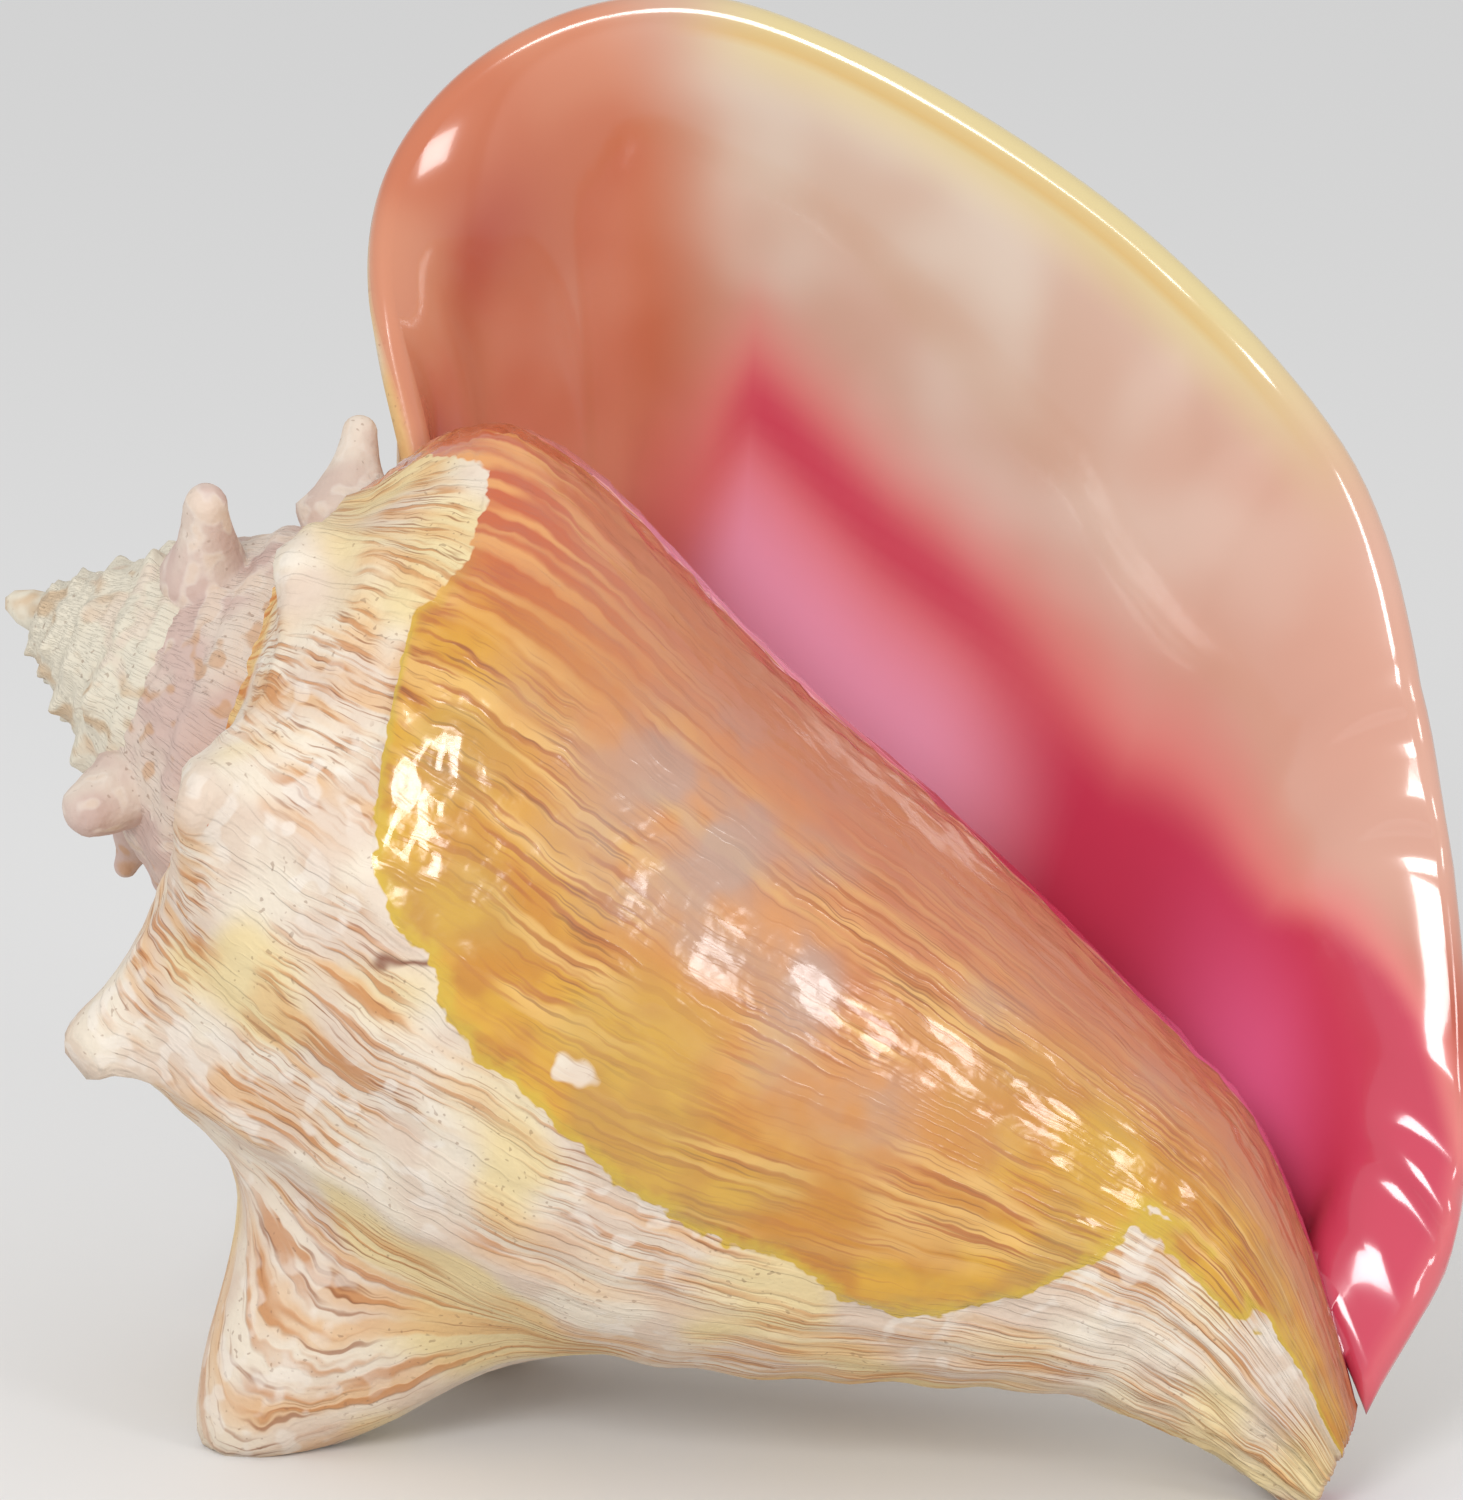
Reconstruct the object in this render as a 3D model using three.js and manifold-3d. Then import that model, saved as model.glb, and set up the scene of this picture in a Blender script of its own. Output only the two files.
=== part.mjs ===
// A queen conch shell: whorls wound down a cone and grown into one another, with a hollow last whorl that
// opens in a wide flared lip. Millimetres, +Z up, standing on two shoulder spines and the canal.
import * as THREE from 'three';
import { mergeVertices } from 'three/addons/utils/BufferGeometryUtils.js';
import Module from 'manifold-3d';

// ---------------------------------------------------------------- driving dimensions
const SPIRE_GROWTH = 1.45; // how much one turn of the spire grows
const APEX_TURN = -6.3; // turns are counted back from the lip edge, which is turn 0
const SPIRE_TURN = -1.75; // below this turn the whorls keep one shape and only shrink
const CORE_END = -0.95; // the whorls are filled up to here; from here on the last whorl is hollow
const WING_START = -0.3; // where the last whorl starts to leave the body and become the lip
const WALL = 3.6; // wall of the hollow whorl
const LIP_WALL = 5; // wall at the edge of the lip
const ROWS = 24; // cells along a section
const OVERLAP_TURN = 0.02; // a stretch of whorls runs this far into the next one
const SINK = 0.04; // and is this much smaller there
const TUCK = 1.5; // how far the hollow whorl's first column sinks into the filled ones
const COLUMELLA = 2; // radius left free around the axis, filled by the columella rod
const WELD = 0.02; // corners closer than this are one
const WORN = 0.8; // worn off the tips that it stands on
// Near where it touches the ground, with x towards the lip, y away from the opening and z up to the apex.
const FEET = [[-34, 6, -221], [-74, 50, -102], [-90, 8, -91]].map((at) => new THREE.Vector3(...at));
const FOOT_REACH = 20; // how far from there its lowest point may be
const FACING = new THREE.Vector3(0, -1, -0.07); // the way the opening faces

// Half sections of the last two whorls at quarter turns, radius and height below the apex:
// suture, crest, shoulder, belly, waist, two points of the taper, canal, tip.
const SECTION_STEP = 0.25;
const SECTIONS = [
  [[16.8, -23.5], [21, -27], [25, -32], [28.5, -40], [24, -80], [16, -125], [11, -160], [8, -190], [5, -205]],
  [[18.5, -26], [23.5, -30], [26.8, -36], [31, -46], [29, -82], [22, -125], [14, -165], [10, -190], [6, -208]],
  [[21.3, -28.5], [27, -33], [33, -41], [41, -54], [37, -88], [30, -125], [20, -165], [13, -194], [6, -214]],
  [[22.6, -30.5], [31.5, -38], [46.5, -46], [53, -60], [47, -90], [40.5, -125], [28.5, -165], [18.5, -194], [7.5, -218]],
  [[27.8, -40], [43, -46], [53, -57], [58, -75], [54, -105], [44, -138], [31, -170], [20, -196], [8, -219]],
  [[28.3, -41], [46, -45], [53, -58], [55, -78], [52, -112], [43, -142], [30, -170], [20, -196], [8, -219]],
  [[32.3, -41], [58, -56], [68, -76], [70, -96], [62, -126], [47, -154], [32, -178], [19, -200], [8, -219]],
].map((section) => section.map(([radius, height]) => new THREE.Vector3(radius, 0, height)));
const CREST = 1 / 8; // place of the crest along a section that runs from 0 to 1

// The free edge of the lip, from where it leaves the spire, over the wing, to the canal.
const LIP_EDGE = [
  [40.3, 0, -42.5], [59, 6, -27], [77, 12, -20], [96, 16, -23.3], [112, 17, -35.5], [121, 17, -54], [122, 16, -86],
  [116, 15, -123], [101, 14, -159], [74, 12, -184], [44, 10, -205], [14, 7, -219], [-12, 3, -219],
].map(([x, y, z]) => new THREE.Vector3(x, y, z));
const WING_CENTRE = new THREE.Vector3(35, 0, -110); // the edge flares away from this point
const FLARE = 80; // how far the flare reaches back into the wing

// Wide shoulder spines pushed out of the wall: turn, place along the section, their half widths in both,
// and how far they stand out and up.
const BROAD_SPINES = [
  { turn: -0.92, along: 0.3, halfTurn: 0.035, halfAlong: 0.07, out: 3, up: 0 },
  { turn: -0.86, along: 0.125, halfTurn: 0.035, halfAlong: 0.06, out: 6, up: 2 },
  { turn: -0.713, along: 0.125, halfTurn: 0.035, halfAlong: 0.06, out: 8, up: 3 },
  { turn: -0.575, along: 0.15, halfTurn: 0.034, halfAlong: 0.06, out: 15, up: 0 },
  { turn: -0.485, along: 0.41, halfTurn: 0.037, halfAlong: 0.066, out: 38, up: 6 },
  { turn: -0.385, along: 0.42, halfTurn: 0.038, halfAlong: 0.065, out: 30, up: 0 },
  { turn: -0.3, along: 0.3, halfTurn: 0.035, halfAlong: 0.08, out: 15, up: 2 },
];
// Slender spines on the whorl above: turn, height stood out and up, and radius at foot and tip.
const SLENDER_SPINES = [
  { turn: -1.875, out: 14, up: 4, foot: 6, tip: 2.8 },
  { turn: -1.6, out: 8, up: 4, foot: 5.5, tip: 4 },
  { turn: -1.44, out: 8, up: 0, foot: 4.5, tip: 2.2 },
  { turn: -1.3, out: 9, up: 0, foot: 5, tip: 2.4 },
  { turn: -1.15, out: 10, up: 2, foot: 5.5, tip: 2.4 },
  { turn: -1.0, out: 12, up: 5, foot: 7, tip: 2.6 },
];

// ---------------------------------------------------------------- the whorl surface
const wasm = await Module();
wasm.setup();

const smooth = (x) => THREE.MathUtils.smoothstep(x, 0, 1);

/** A point on the smooth curve through a list of points, with t from 0 to 1. */
const through = (points, t) => new THREE.CatmullRomCurve3(points, false, 'catmullrom', 0.5).getPoint(t);

/** Radius and height of the whorl at a turn, s running from the suture (0) to the tip (1). */
function section(turn, s) {
  if (turn < SPIRE_TURN) return section(SPIRE_TURN, s).multiplyScalar(SPIRE_GROWTH ** (turn - SPIRE_TURN));
  const t = (turn - SPIRE_TURN) / ((SECTIONS.length - 1) * SECTION_STEP);
  return through(SECTIONS[0].map((_, k) => through(SECTIONS.map((one) => one[k]), t)), s);
}

/** Sideways shift of the axis at a height: the spire leans one way and the canal bends the other. */
function bend(z) {
  const spire = 1.8 * smooth(-z / 20) * (1 - smooth((-z - 40) / 25));
  const canal = Math.max(0, (-z - 185) / 35);
  return new THREE.Vector3(spire - 6 * smooth((-z - 60) / 60) - 17 * canal ** 1.4, 3 * canal, 0);
}

/** A point of the outer surface while the whorl still runs round the axis. */
function whorl(turn, s) {
  const at = section(turn, s);
  for (const spine of BROAD_SPINES) {
    const away = Math.hypot((turn - spine.turn) / spine.halfTurn, (s - spine.along) / spine.halfAlong);
    const share = Math.exp(-(away ** 2.2));
    at.x += spine.out * share;
    at.z += spine.up * share;
  }
  const angle = turn * 2 * Math.PI;
  return new THREE.Vector3(at.x * Math.cos(angle), -at.x * Math.sin(angle), at.z);
}

/** A point of the outer surface of the last whorl, which leaves the axis and spreads to the lip edge. */
function outside(turn, s) {
  if (turn <= WING_START) return whorl(turn, s);
  const step = 0.004;
  const reach = -WING_START;
  const t = (turn - WING_START) / reach;
  const start = whorl(WING_START, s);
  const leaving = start.clone().sub(whorl(WING_START - step, s)).multiplyScalar(reach / step);
  const edge = through(LIP_EDGE, s);
  edge.sub(bend(edge.z));
  const flare = edge.clone().sub(WING_CENTRE).normalize().multiplyScalar(FLARE);
  flare.y = -15;
  flare.lerpVectors(new THREE.Vector3(8, -60, 0), flare, smooth(s / 0.12));
  return start.multiplyScalar(2 * t ** 3 - 3 * t ** 2 + 1)
    .addScaledVector(leaving, t ** 3 - 2 * t ** 2 + t)
    .addScaledVector(edge, -2 * t ** 3 + 3 * t ** 2)
    .addScaledVector(flare, t ** 3 - t ** 2);
}

/** The way into the wall, square to the outer surface. */
function inward(turn, s) {
  const step = 0.002;
  const alongTurn = outside(Math.min(turn + step, 0), s).sub(outside(turn - step, s));
  const alongSection = outside(turn, Math.min(s + step, 1)).sub(outside(turn, Math.max(s - step, 0)));
  return alongSection.cross(alongTurn).normalize();
}

// ---------------------------------------------------------------- solids
/** A box of cells whose corners (a, b, c), each from 0 to 1, are moved to place(a, b, c). */
function block(cells, place) {
  const box = new THREE.BoxGeometry(1, 1, 1, ...cells);
  box.deleteAttribute('normal');
  box.deleteAttribute('uv');
  const geometry = mergeVertices(box);
  const position = geometry.attributes.position;
  for (let i = 0; i < position.count; i += 1) {
    const at = place(position.getX(i) + 0.5, position.getY(i) + 0.5, position.getZ(i) + 0.5);
    position.setXYZ(i, at.x, at.y, at.z);
  }
  return geometry;
}

/** Six times the signed volume of a closed mesh, negative where its faces point in. */
function signedVolume(geometry) {
  const corner = [0, 1, 2].map(() => new THREE.Vector3());
  let sum = 0;
  for (let i = 0; i < geometry.index.count; i += 3) {
    corner.forEach((at, k) => at.fromBufferAttribute(geometry.attributes.position, geometry.index.getX(i + k)));
    sum += corner[0].dot(corner[1].cross(corner[2]));
  }
  return sum;
}

/** A closed geometry as a solid that can be joined, its faces turned outwards. */
function solid(geometry) {
  const triVerts = Uint32Array.from(geometry.index.array);
  if (signedVolume(geometry) < 0) triVerts.reverse();
  const vertProperties = Float32Array.from(geometry.attributes.position.array);
  return new wasm.Manifold(new wasm.Mesh({ numProp: 3, vertProperties, triVerts }));
}

/** Rows of cells along every section, closer together near the suture. */
const rowAt = (b) => b ** 1.2;

/**
 * A filled stretch of whorls, from its outer surface to just short of the axis. One more column, a little
 * smaller, sinks into the stretch that follows.
 */
function filledWhorls(from, to, steps) {
  const overlap = to < CORE_END ? 1 : 0;
  const columns = steps + overlap;
  return solid(block([columns, ROWS, 1], (a, b, c) => {
    const column = Math.round(a * columns);
    const sunk = column > steps;
    const turn = sunk ? to + OVERLAP_TURN : THREE.MathUtils.lerp(from, to, column / steps);
    const [top, bottom] = [section(turn, 0).z, section(turn, 1).z];
    const at = c < 0.5 ? whorl(turn, rowAt(b)) : section(turn, 0);
    if (c > 0.5) {
      const radius = Math.min(COLUMELLA, at.x / 2);
      const angle = turn * 2 * Math.PI;
      at.set(radius * Math.cos(angle), -radius * Math.sin(angle), THREE.MathUtils.lerp(top, bottom, b));
    }
    return sunk ? at.lerp(new THREE.Vector3(0, 0, (top + bottom) / 2), SINK) : at;
  }));
}

/** The hollow last whorl and its lip: one bent sheet, its first column tucked into the filled whorls. */
function hollowWhorl() {
  const columns = 44;
  const first = 1 / columns;
  return solid(block([columns, ROWS, 2], (a, b, c) => {
    const tucked = a < first / 2;
    const rest = (a - first) / (1 - first);
    const turn = tucked ? CORE_END - OVERLAP_TURN : THREE.MathUtils.lerp(CORE_END - OVERLAP_TURN / 2, 0, rest);
    const s = rowAt(b);
    const outer = outside(turn, s);
    const thick = THREE.MathUtils.lerp(WALL, LIP_WALL, smooth((turn + 0.2) / 0.2));
    const at = outer.addScaledVector(inward(turn, s), (tucked ? TUCK : 0) + c * thick);
    if (a > 0.999 && c === 0.5) at.add(outside(0, s).sub(outside(-0.01, s)).setLength(thick / 3));
    return at;
  }));
}

/** A turned solid about the Y axis, from an outline of [radius, y] that starts and ends on that axis. */
function turned(outline, sides) {
  const lathe = new THREE.LatheGeometry(outline.map(([radius, y]) => new THREE.Vector2(radius, y)), sides);
  lathe.deleteAttribute('normal');
  lathe.deleteAttribute('uv');
  return mergeVertices(lathe, 1e-3);
}

/** The columella: the pillar on the axis that carries every whorl, with the blunt apex on top of it. */
function columella() {
  const outline = [[0, -216], [3.6, -216], [3.6, -40], [3, -10], [2.6, -5], [1.8, -1], [0, 0]];
  return solid(turned(outline, 8).rotateX(Math.PI / 2));
}

/** A slender spine with a round end, growing out of the crest of a whorl. */
function slenderSpine({ turn, out, up, foot, tip }) {
  const base = whorl(turn, CREST);
  const towards = base.clone().setZ(0).setLength(out).setZ(up);
  const length = towards.length();
  const outline = [
    [0, -foot], [foot, -foot], [foot, 0], [0.55 * foot + 0.45 * tip, 0.3 * length], [1.1 * tip, 0.6 * length],
    [tip, length - tip], [0.7 * tip, length - 0.3 * tip], [0, length],
  ];
  const turn90 = new THREE.Quaternion().setFromUnitVectors(new THREE.Vector3(0, 1, 0), towards.normalize());
  return solid(turned(outline, 10).applyQuaternion(turn90).translate(base.x, base.y, base.z));
}

// ---------------------------------------------------------------- the shell
const stretches = [APEX_TURN, -5.4, -4.5, -3.6, -2.65, SPIRE_TURN, CORE_END];
const steps = [9, 10, 12, 14, 17, 23];
const whorls = steps.map((count, i) => filledWhorls(stretches[i], stretches[i + 1], count));
const straight = [...SLENDER_SPINES.map(slenderSpine), columella(), hollowWhorl()]
  .reduce((joined, one) => joined.add(one), whorls.reduce((joined, one) => joined.add(one)));

/** The geometry of a solid. */
function geometryOf(one) {
  const mesh = one.getMesh();
  const geometry = new THREE.BufferGeometry();
  geometry.setAttribute('position', new THREE.BufferAttribute(mesh.vertProperties, 3));
  geometry.setIndex(new THREE.BufferAttribute(mesh.triVerts, 1));
  return geometry;
}

/** Unites the ends of every edge shorter than WELD, and drops the triangles that vanish with it. */
function welded(geometry) {
  const { position } = geometry.attributes;
  const corners = Array.from(geometry.index.array);
  const united = Array.from({ length: position.count }, (_, i) => i);
  const find = (i) => (united[i] === i ? i : find(united[i]));
  const at = [new THREE.Vector3(), new THREE.Vector3()];
  corners.forEach((corner, i) => {
    const ends = [corner, corners[i % 3 === 2 ? i - 2 : i + 1]].map(find).sort((p, q) => p - q);
    const [p, q] = ends.map((end, k) => at[k].fromBufferAttribute(position, end));
    if (p.distanceTo(q) < WELD) united[ends[1]] = ends[0];
  });
  const kept = [];
  for (let i = 0; i < corners.length; i += 3) {
    const triangle = corners.slice(i, i + 3).map(find);
    if (new Set(triangle).size === 3) kept.push(...triangle);
  }
  geometry.setIndex(kept);
  return geometry;
}

/** Bends the wound shell along its axis, in place. */
function bent(geometry) {
  const { position } = geometry.attributes;
  for (let i = 0; i < position.count; i += 1) {
    const shift = bend(position.getZ(i));
    position.setXY(i, position.getX(i) + shift.x, position.getY(i) + shift.y);
  }
  return geometry;
}

/** The turn that stands a geometry on the lowest corners near its three feet, with the opening facing -Y. */
function standing({ attributes: { position } }) {
  const corners = Array.from({ length: position.count }, (_, i) => new THREE.Vector3().fromBufferAttribute(position, i));
  const near = FEET.map((foot) => corners.filter((at) => at.distanceTo(foot) < FOOT_REACH));
  const plane = new THREE.Plane();
  let feet = FEET;
  for (let pass = 0; pass < 5; pass += 1) {
    plane.setFromCoplanarPoints(...feet);
    feet = near.map((some) => some.reduce((low, at) => (at.dot(plane.normal) < low.dot(plane.normal) ? at : low)));
  }
  const up = plane.normal;
  const away = FACING.clone().negate().projectOnPlane(up).normalize();
  const right = away.clone().cross(up);
  return new THREE.Matrix4().makeBasis(right, away, up).transpose();
}

const stood = bent(welded(geometryOf(straight)));
stood.applyMatrix4(standing(stood)).computeBoundingBox();
const { min, max } = stood.boundingBox;
stood.translate(-(min.x + max.x) / 2, -(min.y + max.y) / 2, -min.z - WORN);
const ground = new THREE.BoxGeometry(400, 400, 40).translate(0, 0, -20);
ground.deleteAttribute('normal');
ground.deleteAttribute('uv');
const shell = solid(stood).subtract(solid(mergeVertices(ground)));

const material = new THREE.MeshStandardMaterial({ color: 0xd9b594, roughness: 0.5, metalness: 0 });
const conch = new THREE.Mesh(welded(geometryOf(shell)), material);
conch.name = 'conch_shell';

const model = new THREE.Group();
model.add(conch);
export default model;
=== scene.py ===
# %% [markdown]
# # A queen conch shell
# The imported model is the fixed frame: a plain faceted shell in metres, resting on three worn points with
# its opening towards -Y. This lesson grows the same shell again as a fine mesh, from the same few measures,
# and gives it the chalky outside, the glazed callus and the pink opening of the real one.

# %% Load the frame
import math

import bmesh
import bpy
import numpy as np
from mathutils import Euler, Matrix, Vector, noise


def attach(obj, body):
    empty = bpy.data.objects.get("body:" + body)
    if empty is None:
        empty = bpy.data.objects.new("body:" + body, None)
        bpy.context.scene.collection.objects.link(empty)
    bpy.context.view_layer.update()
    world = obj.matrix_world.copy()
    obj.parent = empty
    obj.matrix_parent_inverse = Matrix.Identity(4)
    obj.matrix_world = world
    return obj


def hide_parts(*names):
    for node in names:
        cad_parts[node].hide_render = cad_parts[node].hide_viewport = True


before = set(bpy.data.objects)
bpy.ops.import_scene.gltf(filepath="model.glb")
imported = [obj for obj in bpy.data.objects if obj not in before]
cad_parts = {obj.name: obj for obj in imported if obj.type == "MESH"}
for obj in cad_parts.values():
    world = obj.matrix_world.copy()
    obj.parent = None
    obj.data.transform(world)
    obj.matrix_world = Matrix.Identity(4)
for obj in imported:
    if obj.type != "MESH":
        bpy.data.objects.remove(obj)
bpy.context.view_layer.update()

# %% [markdown]
# ## Where the shell stands
# The shell is easiest to describe in its own frame, in millimetres: x towards the lip, y away from the
# opening and z along the axis up to the apex, which is at 0. It could be modelled there and turned as an
# object, but a finished piece has to sit unturned at the origin. So one small function moves points from
# the shell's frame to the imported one, in metres.

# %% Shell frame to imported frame
MM = 0.001
LIP_WAY = Vector((0.432483, 0.204552, 0.878133))
BACK_WAY = Vector((0.062961, 0.964697, -0.255725))
APEX_WAY = Vector((-0.899441, 0.165885, 0.404336))
APEX = Vector((-102.648, 2.834, 115.405))


def stand(points):
    """Points of the shell's own frame, in millimetres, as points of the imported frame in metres."""
    axes = np.array([LIP_WAY, BACK_WAY, APEX_WAY])
    return (points @ axes + np.array(APEX)) * MM


print("apex stands at", stand(np.zeros((1, 3)))[0].round(4).tolist(), "m")

# %% [markdown]
# ## The camera
# A long lens far away shows the shell nearly without perspective. It looks down at it a little and is
# rolled by a few degrees, because the shell leans on its spines. The camera comes first, so that every
# later look is through it.

# %% Camera
CAMERA_AT = Vector((-0.5, -975.4, 323.8)) * MM
LOOK_DOWN = math.radians(13.11)
ROLL = math.radians(1.38)
VIEW_WIDTH = 210 * MM
VIEW_DISTANCE = 1000 * MM
SENSOR = 36
FAR_CLIP = 20

lens = bpy.data.cameras.new("camera")
lens.sensor_width = SENSOR
lens.lens = SENSOR * VIEW_DISTANCE / VIEW_WIDTH
lens.clip_end = FAR_CLIP
camera = bpy.data.objects.new("camera", lens)
camera.location = CAMERA_AT
turned = Euler((math.pi / 2 - LOOK_DOWN, 0, 0)).to_matrix() @ Euler((0, 0, ROLL)).to_matrix()
camera.rotation_euler = turned.to_euler()
bpy.context.scene.collection.objects.link(camera)
bpy.context.scene.camera = camera
print("lens", round(lens.lens, 1), "mm")

# %% [markdown]
# ## How a conch winds
# A sea snail adds a strip of shell at the lip, again and again, while it turns round the axis. So every
# point of the wall has two places: its *turn*, counted back from the lip edge, and its place *along* the
# section, from the suture (0) down to the tip of the canal (1). The spire only repeats one section, 1.45
# times larger each turn. The last whorls change shape, so their sections are drawn at quarter turns and a
# smooth curve runs between them.

# %% Sections of the whorls
SPIRE_GROWTH = 1.45
APEX_TURN = -6.3
SPIRE_TURN = -1.75
CORE_END = -0.95
WING_START = -0.3
SECTION_STEP = 0.25
CREST = 1 / 8

# Radius and height at suture, crest, shoulder, belly, waist, two points of the taper, canal and tip.
SECTIONS = np.array([
    [(16.8, -23.5), (21, -27), (25, -32), (28.5, -40), (24, -80), (16, -125), (11, -160),
     (8, -190), (5, -205)],
    [(18.5, -26), (23.5, -30), (26.8, -36), (31, -46), (29, -82), (22, -125), (14, -165),
     (10, -190), (6, -208)],
    [(21.3, -28.5), (27, -33), (33, -41), (41, -54), (37, -88), (30, -125), (20, -165),
     (13, -194), (6, -214)],
    [(22.6, -30.5), (31.5, -38), (46.5, -46), (53, -60), (47, -90), (40.5, -125), (28.5, -165),
     (18.5, -194), (7.5, -218)],
    [(27.8, -40), (43, -46), (53, -57), (58, -75), (54, -105), (44, -138), (31, -170),
     (20, -196), (8, -219)],
    [(28.3, -41), (46, -45), (53, -58), (55, -78), (52, -112), (43, -142), (30, -170),
     (20, -196), (8, -219)],
    [(32.3, -41), (58, -56), (68, -76), (70, -96), (62, -126), (47, -154), (32, -178),
     (19, -200), (8, -219)],
])


def smooth(x, low=0.0, high=1.0):
    """A soft step: 0 below low, 1 above high."""
    t = np.clip((x - low) / (high - low), 0, 1)
    return t * t * (3 - 2 * t)


def padded(points):
    """Rows of points with one more at each end, in line with the last two."""
    return np.concatenate([[2 * points[0] - points[1]], points, [2 * points[-1] - points[-2]]])


def between(before, start, end, after, f):
    """A smooth step from start (f = 0) to end (f = 1) that respects both neighbours."""
    slope = end - before
    curve = 2 * before - 5 * start + 4 * end - after
    twist = 3 * (start - end) + after - before
    return start + 0.5 * (slope * f + curve * f**2 + twist * f**3)


def cells(t, count):
    """For places t from 0 to 1 along count steps: the step each is in and how far into it."""
    place = np.clip(t, 0, 1) * count
    step = np.minimum(place.astype(int), count - 1)
    return step, place - step


def through(points, t):
    """Points on the smooth curve through rows of points, at places t from 0 to 1."""
    i, f = cells(t, len(points) - 1)
    held = padded(points)
    return between(held[i], held[i + 1], held[i + 2], held[i + 3], f[:, None])


def whorl_size(turn):
    """Size of a spire whorl against the last one that repeats."""
    return SPIRE_GROWTH ** np.minimum(turn - SPIRE_TURN, 0)


def section(turn, along):
    """Radius and height of the whorl, as rows, at turns and places along the section."""
    spread = (len(SECTIONS) - 1) * SECTION_STEP
    drawn = through(SECTIONS.reshape(len(SECTIONS), -1), (turn - SPIRE_TURN) / spread)
    drawn = padded(drawn.reshape(len(turn), -1, 2).swapaxes(0, 1))
    i, f = cells(along, SECTIONS.shape[1] - 1)
    rows = np.arange(len(turn))
    point = between(*(drawn[i + k, rows] for k in range(4)), f[:, None])
    return point * whorl_size(turn)[:, None]


shown = section(np.full(3, -0.25), np.array([0, 0.25, 1]))
print("suture, shoulder and tip near the lip, radius and height:", shown.round(1).tolist())

# %% [markdown]
# ## Shoulder spines
# On the shoulder the lip was now and then drawn out into a spine, a fold of the same wall. Separate cones
# would show a seam, so each broad spine is a swelling pushed out of the winding surface itself: blunt
# thumbs underneath, where the shell stands on them, and hollow-flanked points on the shoulder in front.

# %% Broad spines and whorls
# Turn, place along the section, half widths in both, how far they stand out and up, and bluntness:
# 2.2 is a thumb and 1 a point with hollow flanks.
BROAD_SPINES = [
    (-0.92, 0.30, 0.035, 0.07, 3, 0, 2.2),
    (-0.832, 0.11, 0.03, 0.05, 4, 5, 1.1),
    (-0.713, 0.155, 0.03, 0.05, 15, 4, 1.0),
    (-0.58, 0.135, 0.038, 0.065, 12, 2, 1.0),
    (-0.485, 0.41, 0.037, 0.066, 38, 6, 2.2),
    (-0.385, 0.42, 0.038, 0.065, 30, 0, 2.2),
    (-0.3, 0.30, 0.035, 0.08, 15, 2, 2.2),
]


def wound(turn, radius, height):
    """Points at a radius and height, turned round the axis."""
    angle = turn * 2 * math.pi
    return np.stack([radius * np.cos(angle), -radius * np.sin(angle), height], axis=1)


def whorl(turn, along):
    """Points of the outer surface while it still runs round the axis."""
    radius, height = section(turn, along).T
    for at_turn, at_along, half_turn, half_along, out, up, blunt in BROAD_SPINES:
        away = np.hypot((turn - at_turn) / half_turn, (along - at_along) / half_along)
        share = np.exp(-away**blunt)
        radius = radius + out * share
        height = height + up * share
    return wound(turn, radius, height)


print("broad spines stand out by", [spine[4] for spine in BROAD_SPINES], "mm")

# %% [markdown]
# ## The lip
# In the last third of a turn a grown conch stops winding and spreads its lip like a wing. That stretch is
# a smooth bridge: it leaves the whorl in the whorl's own direction and arrives at a drawn free edge,
# flaring outwards. The axis is not straight either: the spire leans and the canal bends back.

# %% Lip and bend
LIP_EDGE = np.array([
    (40.3, 0, -42.5), (59, 6, -27), (77, 12, -20), (96, 16, -23.3), (112, 17, -35.5), (121, 17, -54),
    (122, 16, -86), (116, 15, -123), (101, 14, -159), (74, 12, -184), (44, 10, -205), (14, 7, -219),
    (-12, 3, -219),
])
WING_CENTRE = np.array([35, 0, -110])
FLARE = 80
FLARE_FORWARD = 15
SUTURE_FLARE = np.array([8, -60, 0])
SPIRE_LEAN = 1.8
BODY_LEAN = 6
CANAL_LEAN = 17
CANAL_BACK = 3


def bend(height):
    """Sideways shift of the axis at a height."""
    spire = SPIRE_LEAN * smooth(-height, 0, 20) * (1 - smooth(-height, 40, 65))
    canal = np.maximum(0, (-height - 185) / 35)
    aside = spire - BODY_LEAN * smooth(-height, 60, 120) - CANAL_LEAN * canal**1.4
    return np.stack([aside, CANAL_BACK * canal, 0 * canal], axis=1)


def outside(turn, along):
    """Points of the outer surface, from the apex to the lip edge."""
    step = 0.004
    reach = -WING_START
    t = np.clip((turn - WING_START) / reach, 0, 1)[:, None]
    leaf = np.full_like(turn, WING_START)
    start = whorl(leaf, along)
    leaving = (start - whorl(leaf - step, along)) * reach / step
    edge = through(LIP_EDGE, along)
    edge = edge - bend(edge[:, 2])
    flare = edge - WING_CENTRE
    flare *= FLARE / np.linalg.norm(flare, axis=1)[:, None]
    flare[:, 1] = -FLARE_FORWARD
    share = smooth(along, 0, 0.12)[:, None]
    flare = SUTURE_FLARE * (1 - share) + flare * share
    wing = start * (2 * t**3 - 3 * t**2 + 1) + leaving * (t**3 - 2 * t**2 + t)
    wing += edge * (3 * t**2 - 2 * t**3) + flare * (t**3 - t**2)
    return np.where(t > 0, wing, whorl(np.minimum(turn, WING_START), along))


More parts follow.
